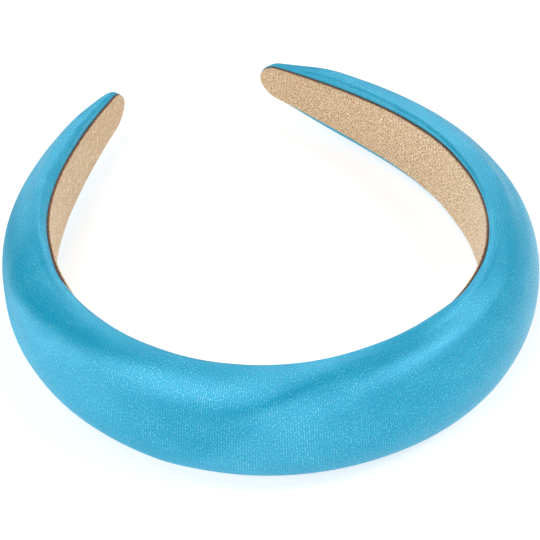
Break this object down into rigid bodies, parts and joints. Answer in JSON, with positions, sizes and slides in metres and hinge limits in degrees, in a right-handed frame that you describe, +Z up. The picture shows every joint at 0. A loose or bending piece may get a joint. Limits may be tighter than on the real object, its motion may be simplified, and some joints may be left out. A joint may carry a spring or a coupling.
{
  "type": "padded headband",
  "caption": "Open hoop worn over the head: a thick satin covered pad that tapers to rounded ends, with a suede lining inside.",
  "frame": {"origin": "on the surface that the headband lies on, under the middle of its outline", "axes": "+X to the wearer's one side across the hoop, +Y from the crown to the open ends, +Z up from the edge that it lies on"},
  "size_m": [0.1518, 0.1626, 0.0283],
  "materials": {
    "satin": "turquoise satin, glossy along the thread",
    "backing": "dark brown, matt",
    "suede": "tan suede, matt nap"
  },
  "bodies": {
    "root": {"satin_pad": "satin", "lining_backing": "backing", "suede_lining": "suede"}
  },
  "joints": []
}
